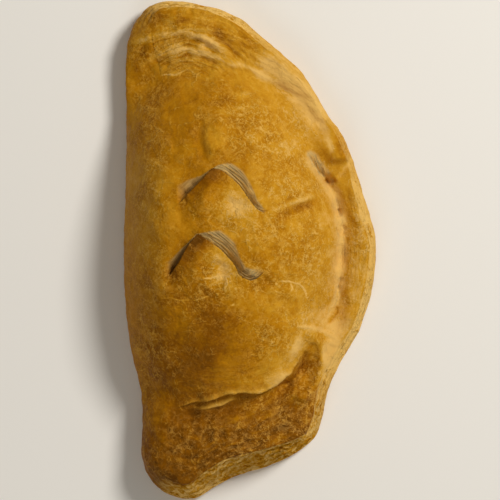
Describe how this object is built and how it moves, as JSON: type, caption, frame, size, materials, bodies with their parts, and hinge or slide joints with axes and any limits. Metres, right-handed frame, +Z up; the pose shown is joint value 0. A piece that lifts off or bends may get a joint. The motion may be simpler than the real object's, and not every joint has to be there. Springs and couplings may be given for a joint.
{
  "type": "pasty",
  "caption": "Baked puff pastry pasty: half-round domed crust with a rolled fold, a layered sealed edge, a broad puffed end and snipped steam vents.",
  "frame": {"origin": "centre of the bounding box, on the surface that the pasty rests on", "axes": "+X towards the round sealed edge, +Y along the length towards the narrow end, +Z up"},
  "size_m": [0.0942, 0.1861, 0.0437],
  "materials": {
    "crust": null
  },
  "bodies": {
    "root": {"pasty": "crust"}
  },
  "joints": []
}
